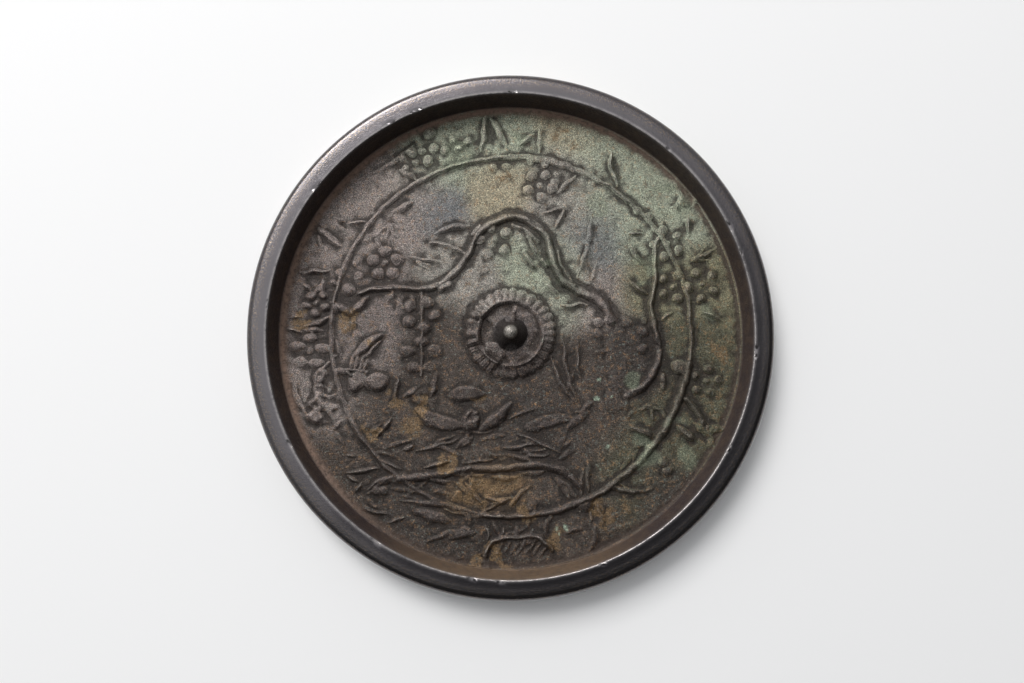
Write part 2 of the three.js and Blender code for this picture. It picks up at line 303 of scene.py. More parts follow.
# root x, y, length, width, direction, bow
LEAVES = (
    (-5.5, 49, 8, 1.5, -97, 0), (-4.4, 48.4, 8, 1.5, -63, 0), (6.5, 40.6, 5.4, 1.1, 88, 0),
    (2, 42.3, 4, 1.1, 38, 0), (-32, 35.5, 12.5, 0.9, 33, -0.8), (-24.6, 36.6, 4.4, 1.3, -32, 0),
    (-26, 27, 5, 1.4, 28, 0), (10.4, 31.4, 5.8, 1.3, 45, 0), (7, 27, 5.2, 1.1, 13, 0),
    (12, 27.6, 4.6, 1.0, -116, 0), (17.8, 26, 14, 1.2, -103, 0.8), (19.3, 15.6, 4.4, 1.0, -114, 0),
    (26, 20.5, 7, 1.1, -60, 0), (26, 22.3, 3.4, 0.9, 0, 0), (26.4, 11.5, 4.8, 1.1, -38, 0),
    (39.3, 26, 4, 1.0, -87, 0), (40, 16, 5.6, 1.3, 27, 0), (42, 5, 5.2, 1.1, -28, 0),
    (33, 3, 3, 0.9, 34, 0), (24, 33, 8, 1.1, 100, 0.8), (-23, 17, 8, 0.9, -8, 0),
    (-22.5, 14.5, 3.2, 0.8, -51, 0), (-36, 24.5, 4, 0.8, 4, 0), (-39, 26, 2.8, 0.8, -22, 0),
    (-30, 21, 3, 0.9, -59, 0), (-42.5, 22, 3.6, 0.8, -74, 0), (-46.5, 13.5, 6.6, 1.1, 3, 0),
    (-46, 11, 2.6, 0.8, -38, 0), (-48.5, 3.5, 2.6, 0.8, 8, 0), (-49, 0.8, 3, 0.8, -4, 0),
    (-47.3, -10, 8.4, 1.1, -70, -0.8), (-38.3, -1.3, 4.6, 1.0, -70, 0),
    (-24.5, -9, 6.2, 1.1, -97, 0), (-23.5, -14, 4.3, 1.4, 36, 0), (-0.2, -18.7, 6.8, 0.9, 20, 0.3),
    (1.5, -22, 10, 1.0, -24, 0.3), (-18.6, -29.3, 5.8, 1.1, 17, 0), (-10.7, -24.6, 1.9, 0.8, 28, 0),
    (-11.4, -23, 9.6, 1.0, 197, 0), (-23.2, -25.5, 2.6, 1.2, 25, 0), (3, -26.9, 5.2, 0.9, 6, 0),
    (10.4, -27.2, 3.8, 1.3, 26, 0), (11.6, 0, 15, 0.9, -80, -0.6), (14.9, 0, 10.6, 0.9, -88, -0.4),
    (8.8, -5, 11.4, 0.9, -63, -0.6), (11, 6.2, 6, 0.9, 2, 0), (18.5, -4.3, 5.2, 1.1, 12, 0),
    (9.7, -31, 6, 1.0, -57, 0), (12, -32.5, 4, 0.9, -58, 0), (15, -35.4, 6, 1.1, 83, 0),
    (16.9, -26.4, 8, 1.0, -91, 0), (-9.8, -32.2, 6.2, 1.1, -52, 0), (-24, -36.3, 16, 1.1, -8, 0.5),
    (-4, -37, 5, 0.9, 18, 0),
    (-26.5, -40.7, 3.8, 1.0, 16, 0), (-33, -36, 7.6, 1.0, -24, -1), (-31, -36, 3, 0.8, -30, -0.3),
    (-35.7, -30.4, 7.4, 1.1, 10, 0), (-35.5, -31, 2.8, 0.8, -22, 0), (-33.5, -34.5, 2.4, 0.8, 63, 0),
    (-31, -33.8, 4.9, 0.9, 35, 0), (18.4, -41, 6.4, 1.1, -108, 0.8), (-38.4, -21.1, 2.8, 0.9, 55, 0),
    (-37.9, -21.4, 3.6, 1.1, -60, 0), (-29, -22.4, 5, 1.1, 52, 0), (-36, -26.5, 2.2, 0.8, -6, 0),
    (-18, -45, 11, 1.3, 12, 1),
)

# the same, for broad leaves with a groove down the middle
BROAD_LEAVES = (
    (-16.2, 22.2, 7.4, 1.6, 14, 0.5), (-42.6, 23.4, 7, 1.7, -38, 0), (-38.6, 6.6, 4.6, 2.2, -34, 0),
    (-31.3, 8, 5, 2.2, 225, 0), (-16.2, -8.4, 5.8, 1.5, -102, 0), (12.2, -20.6, 5.8, 2.1, 37, 0),
    (26, -20.2, 7.2, 1.8, -23, 0), (36.4, -20.3, 5, 1.7, -40, 0), (-21, -38.2, 8, 2.6, -16, 0),
    (33.3, -8.6, 3.6, 1.5, -88, 0), (-45.3, 1.7, 5.8, 1.9, 20, -0.5),
)

# the same, for leaves and shells with a raised edge
HOLLOW_LEAVES = (
    (-13.5, -13.7, 7.6, 3.4, 5, 0.3), (3, -20.7, 11, 2.8, 13, 0.4), (-13.3, -44.2, 6, 2.2, 12, 0.6),
)

# root x, y, length, width, directions
TUFTS = (
    (-27, 24.4, 3.4, 0.8, -130, -95, -60, -20), (-8, -39.5, 6.5, 1.0, 10, 25, 150, 168),
    (-20.5, 16, 3, 0.7, -18, -40), (26.4, -34.4, 4, 0.8, 8, 145), (41, 16, 3, 0.7, 60, 5),
)


def draw_plants():
    """Blossoms, buds, leaves and tufts at their places, and a row of four short blades."""
    for place in BLOSSOMS:
        blossom(*place)
    for place in BUDS:
        boss(*place)
    for *place, bow in LEAVES:
        leaf(*place, bow=bow)
    for *place, bow in BROAD_LEAVES:
        leaf(*place, bow=bow, rise=0.75, section=veined_section)
    for *place, bow in HOLLOW_LEAVES:
        leaf(*place, bow=bow, rise=0.8, section=hollow_section)
    for place in TUFTS:
        tuft(*place)
    for i in range(4):
        tuft(3.6 + 0.8 * i, -21, 1.6, 0.5, 62)


def draw_birds():
    """A small bird with a raised wing at the left, and one with both wings spread below the knob."""
    boss(-29.3, -10.6, 2.0, 0.85, 1.5, 8)
    boss(-33.3, -10.2, 2.1, 0.8, 1.1, 35)
    boss(-34.1, -11.4, 1.4, 1.0)
    boss(-34.0, -11.7, 0.65, 1.2, ring=0.7)
    stroke([(-36.3, -8.0), (-33.6, -8.0), (-31.3, -8.5)], 0.6, 0.75)
    stroke([(-35.8, -8.4), (-34.6, -9.4)], 0.6, 1.0)
    leaf(-35.8, -8.8, 2.6, 1.4, 160)
    leaf(-34.4, -5.2, 7.8, 2.2, 39, 0.4, 0.9)
    leaf(-32.6, -5.4, 5.6, 1.0, 43, -0.3, 0.6)
    for i in range(4):
        leaf(-34.4 + 1.05 * i, -4.8 - 0.3 * i, 3.0, 0.9, -99 - 5 * i, 0, 0.7)

    leaf(-10.2, -20, 11, 3.4, 162, 1.0, 0.9, hollow_section)
    leaf(-6.7, -21, 9.0, 2.8, 41, -0.6, 0.9, veined_section)
    boss(-8.8, -19.1, 2.1, 1.2, 1.25, 80)
    boss(-7.4, -17.3, 0.5, 1.4)
    stroke([(-9.2, -21.3), (-9.9, -23.3)], 1.2, 0.7, blade)


def draw_grass(seed, count, box, lengths, degrees, spread):
    """Short blades strewn over a box of x_low, x_high, y_low, y_high, about one direction."""
    dice = np.random.default_rng(seed)
    x_low, x_high, y_low, y_high = box
    for _ in range(count):
        x, y = dice.uniform(x_low, x_high), dice.uniform(y_low, y_high)
        if math.hypot(x, y) < WALL_FOOT - 4:
            leaf(x, y, dice.uniform(*lengths), dice.uniform(0.6, 1.3), degrees + dice.normal(0, spread),
                 dice.uniform(-0.5, 0.5), dice.uniform(0.3, 0.65))


def draw_rocks():
    """Stones down the left edge, and a rock with short hatching at the bottom."""
    for i, y in enumerate((-9.5, -12.6, -15.6, -18.2)):
        boss(-41.6 - 0.3 * i, y, 1.5, 0.8, 1.3, 60 + 25 * i, ring=0.4)
    stroke([(-5.5, -47.5), (-4.5, -45.5), (-3, -44.6), (0, -44.1), (5, -43.5), (7.3, -44.8), (9, -46.5)],
           1.1, 0.9)
    for i in range(7):
        stroke([(-3 + 1.6 * i, -47.4), (-1.6 + 1.6 * i, -45.4)], 0.5, 0.4)


def draw_seat():
    """Ring about the knob with a low crest and scalloped petals that slope outwards."""
    wander = 0.5 * np.sin(3 * MAP_TURN) + 0.35 * np.sin(7 * MAP_TURN + 1)
    petals = np.abs(np.cos(0.5 * SEAT_PETALS * MAP_TURN + wander)) ** 0.7
    edge = SEAT_RADIUS + 0.1 - 0.45 * (1 - petals) + 0.06 * np.sin(5 * MAP_TURN)
    outer = smoothstep(-0.35, 0.3, edge - MAP_R)
    slope = 0.75 + 0.5 * np.clip((edge - MAP_R) / (edge - SEAT_CREST), 0, 1)
    stamens = np.abs(np.cos(1.5 * SEAT_PETALS * MAP_TURN)) * smoothstep(1, -4, MAP_Y)
    grooves = 1 - (0.24 * (1 - petals) + 0.26 * stamens) * smoothstep(SEAT_CREST, SEAT_CREST + 0.6, MAP_R)
    inner = smoothstep(SEAT_CREST - 0.9, SEAT_CREST, MAP_R)
    seat = np.where(MAP_R > SEAT_CREST, outer * slope * grooves, 0.6 + 0.65 * inner)
    inside = MAP_R < SEAT_RADIUS + 0.6
    relief[inside] = np.maximum(seat, relief * (MAP_R > SEAT_RADIUS))[inside]


draw_ring()
draw_boughs()
draw_plants()
draw_birds()
draw_grass(41, 34, (-34, 4, -38, -21), (3, 8), 5, 28)
draw_grass(42, 26, (-22, 22, -47, -39), (2, 4), 80, 30)
draw_grass(43, 18, (-48, -38, -20, 30), (2, 4), 0, 40)
draw_grass(44, 16, (8, 30, -30, -12), (2, 5), 40, 40)
draw_rocks()
draw_seat()


# ---------------------------------------------------------------- wear and corrosion
def spot(x, y, radius, softness=0.6):
    """Soft round area about a place."""
    return 1 - smoothstep(radius * (1 - softness), radius * (1 + softness), np.hypot(MAP_X - x, MAP_Y - y))


def sampled(values, x, y):
    """Map values at given places, between cells by weight."""
    column = np.clip((x + HALF_MAP) / CELL, 0, values.shape[1] - 1.001)
    row = np.clip((y + HALF_MAP) / CELL, 0, values.shape[0] - 1.001)
    c, r = column.astype(int), row.astype(int)
    u, v = column - c, row - r
    return ((values[r, c] * (1 - u) + values[r, c + 1] * u) * (1 - v)
            + (values[r + 1, c] * (1 - u) + values[r + 1, c + 1] * u) * v)


# x, y, reach of the rough crusts
CRUSTS = ((21.5, -38, 4), (-5, -50, 6), (-35, 2.5, 3), (-19, -15, 3), (-30, -21, 3), (-12, -31, 4),
          (3, -38, 3), (-25, 7.5, 3), (0, 4.2, 2), (44, -22, 4), (40, 30, 4), (-41, -16, 4))
crust = np.zeros_like(relief)
for place in CRUSTS:
    crust = np.maximum(crust, spot(*place))
crust *= smoothstep(-0.6, 0.9, cloud(0.7, 11))

off_seat = MAP_R > SEAT_RADIUS + 1.2
relief = sampled(relief, MAP_X + WAVER * cloud(0.7, 8) * off_seat, MAP_Y + WAVER * cloud(0.7, 9) * off_seat)
relief = blur(relief, SOFTENING)
relief *= (0.9 + 0.14 * cloud(2.5, 1)) * (1 - 0.45 * smoothstep(0.6, 2.0, cloud(1.3, 7)))
bare = smoothstep(0.15, 0.5, relief)
relief += 0.035 * cloud(0.5, 3) + 0.04 * cloud(1.2, 6) + 0.05 * cloud(3.5, 4)
relief += crust * (0.2 + 0.18 * cloud(0.5, 5))
foot_fillet = 0.5 * smoothstep(WALL_FOOT - 0.9, WALL_FOOT, MAP_R) ** 2
relief = np.clip(relief, -LOWEST_PIT, HIGHEST_RELIEF) + foot_fillet
# cavity: how far a place lies below its surroundings, for painted shade in the hollows
cavity = relief - blur(relief, CAVITY_REACH)
# crest: how far a place stands above its surroundings, for lighter worn metal that is partly a painted
# highlight
crest = relief - blur(relief, CREST_REACH)


# ---------------------------------------------------------------- the casting as a mesh
def circle(radius, count, phase=0.0):
    """Places and turns of vertices around a ring. phase is a part of one step."""
    turn = 2 * math.pi * (np.arange(count) + phase) / count
    return radius * np.cos(turn), radius * np.sin(turn), turn


def band(first, first_count, second, second_count):
    """Triangles between two rings of vertices, given by their first index and count."""
    faces = []
    i = j = 0
    while i < first_count or j < second_count:
        here = (first + i % first_count, second + j % second_count)
        second_is_behind = j * first_count <= i * second_count and j < second_count
        if second_is_behind or i == first_count:
            j += 1
            faces.append((*here, second + j % second_count))
        else:
            i += 1
            faces.append((*here, first + i % first_count))
    return faces


def rim_profile():
    """Radius, height and vertex count of each ring, from the wall's foot over the rim to the underside."""
    inner_wall = ((0.0, 0.35), (0.08, 0.8), (0.18, 1.8), (0.32, 3.2), (0.46, 4.6), (0.58, 5.7))
    inner_edge = ((0.0, 0.28), (0.06, 0.12), (0.2, 0.04), (0.26, 0.03))
    outer_wall = ((0.1, 5.6), (0.2, 3.8), (0.35, 2.0), (0.5, 0.7), (0.7, 0.3), (1.1, 0.0))
    profile = [(WALL_FOOT - 0.05 + lean, FIELD_HEIGHT + rise, WALL_COUNT) for lean, rise in inner_wall]
    profile += [(RIM_INNER + out, RIM_HEIGHT - drop, WALL_COUNT) for out, drop in inner_edge]
    profile += [(RIM_INNER + 0.2 + 0.5 * i, RIM_HEIGHT - 0.02, RIM_COUNT) for i in range(1, 5)]
    for degrees in (90, 82, 74, 64, 54, 44, 33, 22, 11, 0):
        turn = math.radians(degrees)
        profile.append((RADIUS - RIM_EDGE_ROUND * (1 - math.cos(turn)),
                        RIM_HEIGHT - RIM_EDGE_ROUND * (1 - math.sin(turn)), RIM_COUNT))
    profile += [(RADIUS - inset, height, RIM_COUNT) for inset, height in outer_wall]
    profile += [(RADIUS * 0.8, 0.0, 200), (RADIUS * 0.4, 0.0, 80), (1.0, 0.0, 12)]
    return profile


def worn_height(radius, height, turn):
    """Heights around one ring of the rim: slightly uneven on top, with small nicks in the inner edge."""
    top = smoothstep(RIM_HEIGHT - 2, RIM_HEIGHT, height)
    unevenness = np.sin(5 * turn + 1) + np.sin(11 * turn) + np.sin(23 * turn + 2)
    nicks = smoothstep(0.86, 1, np.sin(17 * turn) * np.sin(29 * turn + 1) + 0.4 * np.sin(61 * turn))
    return height - top * 0.015 * (3 + unevenness) - nicks * 0.12 * (abs(radius - RIM_INNER) < 0.3)


def casting_mesh():
    """Vertices and triangles of the whole casting, without the knob. In millimetres."""
    vertices = [np.array([[0, 0, FIELD_HEIGHT + sampled(relief, np.zeros(1), np.zeros(1))[0]]])]
    faces = []
    start, count, total = 0, 1, 1
    field_end = WALL_FOOT - 0.15
    field_radii = np.linspace(0, field_end, int(field_end / FIELD_STEP) + 1)[1:]
    rings = [(radius, None, max(6, round(2 * math.pi * radius / FIELD_STEP))) for radius in field_radii]
    rings += rim_profile()
    for k, (radius, height, number) in enumerate(rings):
        x, y, turn = circle(radius, number, 0.5 * (k % 2))
        if height is None:
            z = FIELD_HEIGHT + sampled(relief, x, y)
        else:
            z = worn_height(radius, height, turn)
        vertices.append(np.stack([x, y, z], -1))
        if k == 0:
            faces += [(0, 1 + j, 1 + (j + 1) % number) for j in range(number)]
        else:
            faces += band(start, count, total, number)
        start, count = total, number
        total += number
    vertices.append(np.array([[0.0, 0.0, 0.0]]))
    faces += [(total, start + (j + 1) % count, start + j) for j in range(count)]
    return np.vstack(vertices), faces


def made(name, vertices, faces):
    """New object in the scene from vertices in millimetres."""
    mesh = bpy.data.meshes.new(name)
    mesh.from_pydata((np.asarray(vertices) * MM).tolist(), [], [tuple(face) for face in faces])
    mesh.validate()
    thing = bpy.data.objects.new(name, mesh)
    bpy.context.collection.objects.link(thing)
    return thing


def knob_mesh():
    """Knob as a closed turned form: a flared foot sunk in the seat, a waist and a blunt round tip."""
    outline = [(KNOB_RADIUS + 0.5, KNOB_FOOT), (KNOB_RADIUS + 0.4, SEAT_FLOOR - 0.15)]
    waist_steps, tip_steps = 14, 7
    shoulder = KNOB_TOP - 0.75 * KNOB_TIP
    for i in range(waist_steps + 1):
        lift = i / waist_steps
        outline.append((KNOB_TIP + (KNOB_RADIUS - KNOB_TIP) * (1 - lift) ** 1.3,
                        SEAT_FLOOR + (shoulder - SEAT_FLOOR) * lift))
    for i in range(1, tip_steps):
        turn = 0.5 * math.pi * i / tip_steps
        outline.append((KNOB_TIP * math.cos(turn), shoulder + (KNOB_TOP - shoulder) * math.sin(turn)))
    vertices = [(0, 0, KNOB_FOOT)]
    faces = [(0, 1 + (j + 1) % KNOB_COUNT, 1 + j) for j in range(KNOB_COUNT)]
    for k, (radius, height) in enumerate(outline):
        x, y, turn = circle(radius, KNOB_COUNT)
        wobble = 1 + 0.02 * np.sin(3 * turn + 0.4 * k) + 0.012 * np.sin(7 * turn + k)
        vertices += list(zip(x * wobble, y * wobble, np.full(KNOB_COUNT, height)))
    for k in range(1, len(outline)):
        upper = 1 + k * KNOB_COUNT
        lower = upper - KNOB_COUNT
        for j in range(KNOB_COUNT):
            after = (j + 1) % KNOB_COUNT
            faces.append((lower + j, lower + after, upper + after, upper + j))
    vertices.append((0, 0, KNOB_TOP))
    faces += [(upper + j, upper + (j + 1) % KNOB_COUNT, len(vertices) - 1) for j in range(KNOB_COUNT)]
    return vertices, faces


def bore_mesh():
    """Cord hole: an arched bar along Y."""
    half = CORD_HOLE_WIDTH / 2
    spring = CORD_HOLE_FLOOR + CORD_HOLE_HEIGHT - half
    section = [(-half, CORD_HOLE_FLOOR), (half, CORD_HOLE_FLOOR)]
    for i in range(BORE_COUNT + 1):
        turn = math.pi * i / BORE_COUNT
        section.append((half * math.cos(turn), spring + half * math.sin(turn)))
    length = KNOB_RADIUS + 0.8
    number = len(section)
    vertices = [(x, -length, z) for x, z in section] + [(x, length, z) for x, z in section]
    faces = [tuple(range(number)), tuple(range(2 * number - 1, number - 1, -1))]
    faces += [(i, i + number, (i + 1) % number + number, (i + 1) % number) for i in range(number)]
    return vertices, faces


def apply_modifiers(thing):
    evaluated = thing.evaluated_get(bpy.context.evaluated_depsgraph_get())
    result = bpy.data.meshes.new_from_object(evaluated)
    thing.modifiers.clear()
    thing.data = result


def combine(target, tool, operation):
    """Boolean join or cut. The tool is removed."""
    step = target.modifiers.new(operation, "BOOLEAN")
    step.operation = operation
    step.solver = "MANIFOLD"
    step.object = tool
    apply_modifiers(target)
    bpy.data.objects.remove(tool)


def thin(thing):
    """Fewer triangles where the field is nearly flat. The rim and the underside keep theirs."""
    step = thing.modifiers.new("thin", "DECIMATE")
    step.ratio = MOST_TRIANGLES / len(thing.data.polygons)
    places = np.empty(3 * len(thing.data.vertices), np.float32)
    thing.data.vertices.foreach_get("co", places)
    radii = np.hypot(*places.reshape(-1, 3).T[:2]) / MM
    heights = places[2::3] / MM
    group = thing.vertex_groups.new(name="field")
    group.add(np.flatnonzero((radii < WALL_FOOT - 0.3) & (heights > 1)).tolist(), 1.0, "REPLACE")
    step.vertex_group = group.name
    apply_modifiers(thing)
    thing.vertex_groups.clear()


mirror = made("bronze_mirror", *casting_mesh())
thin(mirror)
combine(mirror, made("knob", *knob_mesh()), "UNION")
combine(mirror, made("cord_hole", *bore_mesh()), "DIFFERENCE")
mirror.data.shade_smooth()


# ---------------------------------------------------------------- colours, and where they are painted
def srgb(red, green, blue):
    """Linear colour from 0 to 255 values."""
    values = np.array([red, green, blue]) / 255
    return np.where(values <= 0.04045, values / 12.92, ((values + 0.055) / 1.055) ** 2.4)


TAUPE = srgb(142, 132, 127)
MAUVE = srgb(118, 108, 104)
GREY = srgb(148, 143, 135)
SAGE = srgb(158, 163, 144)
OLIVE = srgb(124, 121, 97)
SLATE = srgb(112, 114, 116)
STRAW = srgb(162, 153, 130)
UMBER = srgb(76, 67, 61)
DUSK = srgb(65, 58, 54)
OCHRE = srgb(124, 101, 72)
MOSS = srgb(88, 86, 68)
VERDIGRIS = srgb(150, 165, 146)

RUST_SPECK = srgb(140, 106, 72)
SAGE_SPECK = srgb(128, 142, 136)
PALE_SPECK = srgb(168, 160, 146)
PIT = srgb(38, 31, 28)
# painted shade in the hollows
HOLLOW_SHADE = srgb(40, 33, 29)
GREEN_FILM = srgb(134, 144, 122)
RELIEF_METAL = srgb(80, 73, 71)
# lighter worn metal on the crests, partly a painted highlight
CREST_WEAR_AND_HIGHLIGHT = srgb(160, 154, 146)
# painted light at the wall's foot
FOOT_PAINTED_LIGHT = srgb(158, 132, 116)
WALL_DARK = srgb(62, 52, 51)
WALL_BROWN = srgb(80, 66, 58)
# painted light for the wall that faces the light
WALL_LIT_SIDE = srgb(120, 100, 80)
RIM_METAL = srgb(96, 93, 95)
RIM_WORN = srgb(134, 120, 104)
RIM_EDGE = srgb(145, 141, 140)
KNOB_METAL = srgb(78, 73, 71)
# painted highlight on the knob's top
KNOB_TIP_HIGHLIGHT = srgb(150, 145, 138)
FACE_BROWN = srgb(92, 84, 74)
FACE_GREEN = srgb(118, 122, 104)
FLOOR_WHITE = srgb(243, 243, 243)

# x, y, reach, colour; darker towards the bottom, partly the patina's own tone and partly painted shade
PATCHES = (
    (-30, 34, 9, TAUPE), (-16, 42, 8, SAGE), (-38, 22, 8, TAUPE), (-22, 24, 7, TAUPE), (-15, 26, 5, SLATE),
    (0, 42, 7, SAGE), (14, 44, 6, STRAW), (22, 38, 9, SAGE), (-2, 32, 5, STRAW), (12, 30, 7, GREY),
    (26, 24, 7, SAGE), (20, 20, 5, SLATE), (36, 28, 8, SAGE), (8, 12, 7, SAGE), (-10, 12, 8, GREY),
    (-28, 12, 7, MAUVE), (-44, 8, 8, MAUVE), (-34, 0, 7, MAUVE), (-16, 0, 7, UMBER), (0, 4, 6, MAUVE),
    (19, 9, 7, TAUPE), (32, 10, 7, OLIVE), (44, 12, 7, OLIVE), (42, -4, 7, MOSS), (26, -6, 6, DUSK),
    (12, -8, 7, UMBER), (-8, -10, 7, UMBER), (-24, -12, 6, UMBER), (-42, -14, 8, TAUPE), (-36, -28, 8, UMBER),
    (-22, -26, 7, UMBER), (-8, -24, 6, UMBER), (6, -18, 7, DUSK), (20, -18, 7, UMBER), (36, -22, 8, MOSS),
    (24, -32, 7, MOSS), (12, -34, 7, UMBER), (-4, -34, 5, OCHRE), (-16, -38, 6, DUSK), (-26, -42, 8, DUSK),
    (-6, -46, 6, DUSK), (8, -46, 6, UMBER), (18, -44, 7, UMBER), (34, -34, 7, DUSK),
)

# x, y, reach
OCHRE_SPOTS = ((-35, 2.5, 3), (-19, -15, 3.4), (-21.5, -20.5, 2.6), (-30, -21, 2.6), (-13, -28.5, 3),
               (-10, -33.5, 3.6), (-5, -35.5, 3), (3, -37.5, 3.4), (21.5, -38, 4.4), (-5, -50, 5),
               (0.2, 3.9, 1.4), (-7, -13.5, 2), (12, 43, 3), (-3, 35, 3), (-46, 3, 2.4), (-33, -2, 2.6),
               (9, -44, 3), (-25, -14, 2.4), (46, -4, 3))
GREEN_SPOTS = ((36, -21, 3), (29, -23, 2.6), (30, -28, 3), (38, -27, 3), (8, 13, 3.4), (21, 2, 2),
               (30, 14, 4), (20, 28, 4), (36, 30, 5), (-12, 40, 4), (4, 45, 4), (27, -10, 2.4), (42, 4, 3))
PALE_SPOTS = ((21.5, -13.5, 0.8), (18.8, -14.2, 0.7), (19.3, -10, 0.6), (18.5, -21.7, 0.7), (21, -25, 0.7),
              (18.8, -29.5, 0.7), (8, -36, 0.8), (11, -42.3, 1.4), (-7, 3.5, 0.9), (7.2, -1.4, 0.7))


def painted_map():
    """Broad colours of the field as three layers of the map, darker towards the bottom: partly the patina's
    own tone, partly painted shade.
    """
    total = np.full(relief.shape, 1e-6)
    layers = np.zeros((3,) + relief.shape)
    drift_x, drift_y = 1.6 * cloud(4, 21), 1.6 * cloud(4, 22)
    for x, y, reach, colour in PATCHES:
        spread = 0.62 * reach
        weight = np.exp(-((MAP_X + drift_x - x) ** 2 + (MAP_Y + drift_y - y) ** 2) / (2 * spread ** 2))
        total += weight
        for channel in range(3):
            layers[channel] += weight * colour[channel]
    return layers / total


def spots_map(spots, seed, grain):
    """Broken spots, from 0 to 1."""
    mask = np.zeros_like(relief)
    for x, y, reach in spots:
        mask = np.maximum(mask, spot(x, y, reach, 0.5))
    return mask * smoothstep(-0.8, 0.8, cloud(grain, seed))


paint_layers = painted_map()
ochre_map = spots_map(OCHRE_SPOTS, 31, 0.7)
green_map = spots_map(GREEN_SPOTS, 32, 1.0)
pale_map = spots_map(PALE_SPOTS, 33, 0.3)


def add_attribute(mesh, name, values):
    layer = mesh.attributes.new(name, "FLOAT", "POINT")
    layer.data.foreach_set("value", np.asarray(values, np.float32))


def paint(thing):
    """Vertex attributes that the material reads."""
    mesh = thing.data
    places = np.empty(3 * len(mesh.vertices), np.float32)
    mesh.vertices.foreach_get("co", places)
    x, y, z = (places.reshape(-1, 3) / MM).T
    radius = np.hypot(x, y)
    on_field = (radius < WALL_FOOT + 0.1) & (z > 1)
    for name, values in (("cavity", cavity), ("crest", crest), ("bare", bare), ("ochre", ochre_map),
                         ("green", green_map), ("pale", pale_map)):
        add_attribute(mesh, name, np.where(on_field, sampled(values, x, y), 0))
    add_attribute(mesh, "rim", smoothstep(RIM_INNER - 0.15, RIM_INNER + 0.15, radius) * (z > 4))
    add_attribute(mesh, "rim_outer", smoothstep(RIM_INNER + 1.2, RIM_INNER + 2.4, radius) * (z > 4))
    add_attribute(mesh, "rim_edge", 1 - smoothstep(0.08, 0.35, np.abs(radius - RIM_INNER - 0.08)))
    # painted light at the wall's foot, strongest towards the upper left where the wall's shadow falls
    foot = smoothstep(WALL_FOOT - 2.2, WALL_FOOT - 0.6, radius) * (radius < WALL_FOOT + 0.1)
    toward_upper_left = (y - x) / radius.clip(1) / 1.414
    add_attribute(mesh, "foot", foot * (0.12 + 1.1 * smoothstep(-0.5, 0.7, toward_upper_left)))
    wall = smoothstep(WALL_FOOT - 0.3, WALL_FOOT + 0.05, radius) * (radius < RIM_INNER + 0.1)
    add_attribute(mesh, "wall", wall)
    # painted light on the part of the wall at the bottom of the picture, which faces the light
    add_attribute(mesh, "wall_facing_light", smoothstep(-0.8, -1, y / radius.clip(1)))
    add_attribute(mesh, "face", (z < 0.2).astype(float))
    on_knob = 1 - smoothstep(KNOB_RADIUS - 0.1, KNOB_RADIUS + 0.5, radius)
    add_attribute(mesh, "knob", on_knob * (z > 1))
    # painted highlight on the knob's top
    add_attribute(mesh, "tip", on_knob * smoothstep(6.6, 7.4, z))
    colours = np.stack([sampled(layer, x, y) for layer in paint_layers] + [np.ones_like(x)], -1)
    layer = mesh.attributes.new("patina", "FLOAT_COLOR", "POINT")
    layer.data.foreach_set("color", colours.astype(np.float32).ravel())


# ---------------------------------------------------------------- materials
class Shader:
    """Short way to build a node material."""

    def __init__(self, name):
        self.material = bpy.data.materials.new(name)
        self.material.use_nodes = True
        self.tree = self.material.node_tree
        self.tree.nodes.clear()
        self.place = self.node("ShaderNodeTexCoord").outputs["Object"]

    def node(self, kind, inputs=None, **settings):
        """New node with its inputs linked or set."""
        made_node = self.tree.nodes.new(kind)
        for name, value in settings.items():
            setattr(made_node, name, value)
        for key, value in (inputs or {}).items():
            self.put(made_node.inputs[key], value)
        return made_node

    def put(self, socket, value):
        if isinstance(value, bpy.types.NodeSocket):
            self.tree.links.new(value, socket)
        elif hasattr(value, "__len__") and len(value) == 3 and socket.type == "RGBA":
            socket.default_value = (*value, 1)
        else:
            socket.default_value = value

    def noise(self, size, detail=4.0, roughness=0.6):
        """Noise with grains of a size in millimetres."""
        found = self.node("ShaderNodeTexNoise", {"Vector": self.place, "Scale": 1 / (size * MM),
                                                 "Detail": detail, "Roughness": roughness})
        return found.outputs["Fac"]

    def ramp(self, value, low, high, out_low=0.0, out_high=1.0):
        """Soft step of a value between two levels. With low above high it runs downwards."""
        limits = {"Value": value, "From Min": low, "From Max": high, "To Min": out_low, "To Max": out_high}
        return self.node("ShaderNodeMapRange", limits, interpolation_type="SMOOTHSTEP").outputs["Result"]

    def math(self, operation, first, second=0.0):
        return self.node("ShaderNodeMath", {0: first, 1: second}, operation=operation).outputs[0]

    def times(self, first, second):
        return self.math("MULTIPLY", first, second)

    def rest(self, value, share=1.0):
        """What is left of 1 after a share of the value."""
        return self.math("SUBTRACT", 1.0, self.times(value, share))

    def mix(self, amount, first, second):
        """Colour from the first at amount 0 to the second at 1."""
        found = self.node("ShaderNodeMix", data_type="RGBA")
        self.put(found.inputs[0], amount)
        self.put(found.inputs[6], first)
        self.put(found.inputs[7], second)
        return found.outputs[2]

    def tinted(self, colour, shade):
        """Colour times a grey value."""
        return self.node("ShaderNodeVectorMath", {0: colour, "Scale": shade}, operation="SCALE").outputs[0]

    def attribute(self, name, colour=False):
        found = self.node("ShaderNodeAttribute", attribute_name=name)
        return found.outputs["Color" if colour else "Fac"]

    def finished(self, inputs):
        """The material, with one surface of the given inputs."""
        surface = self.node("ShaderNodeBsdfPrincipled", inputs)
        self.node("ShaderNodeOutputMaterial", {"Surface": surface.outputs[0]})
        return self.material


def speckle(shader):
    """Fine light and dark grain of corroded bronze."""
    coarse = shader.ramp(shader.noise(0.24, 3, 0.8), 0.35, 0.65, 0.5, 1.5)
    fine = shader.ramp(shader.noise(0.17, 1, 0.5), 0.32, 0.68, 0.4, 1.6)
    return shader.times(coarse, fine)


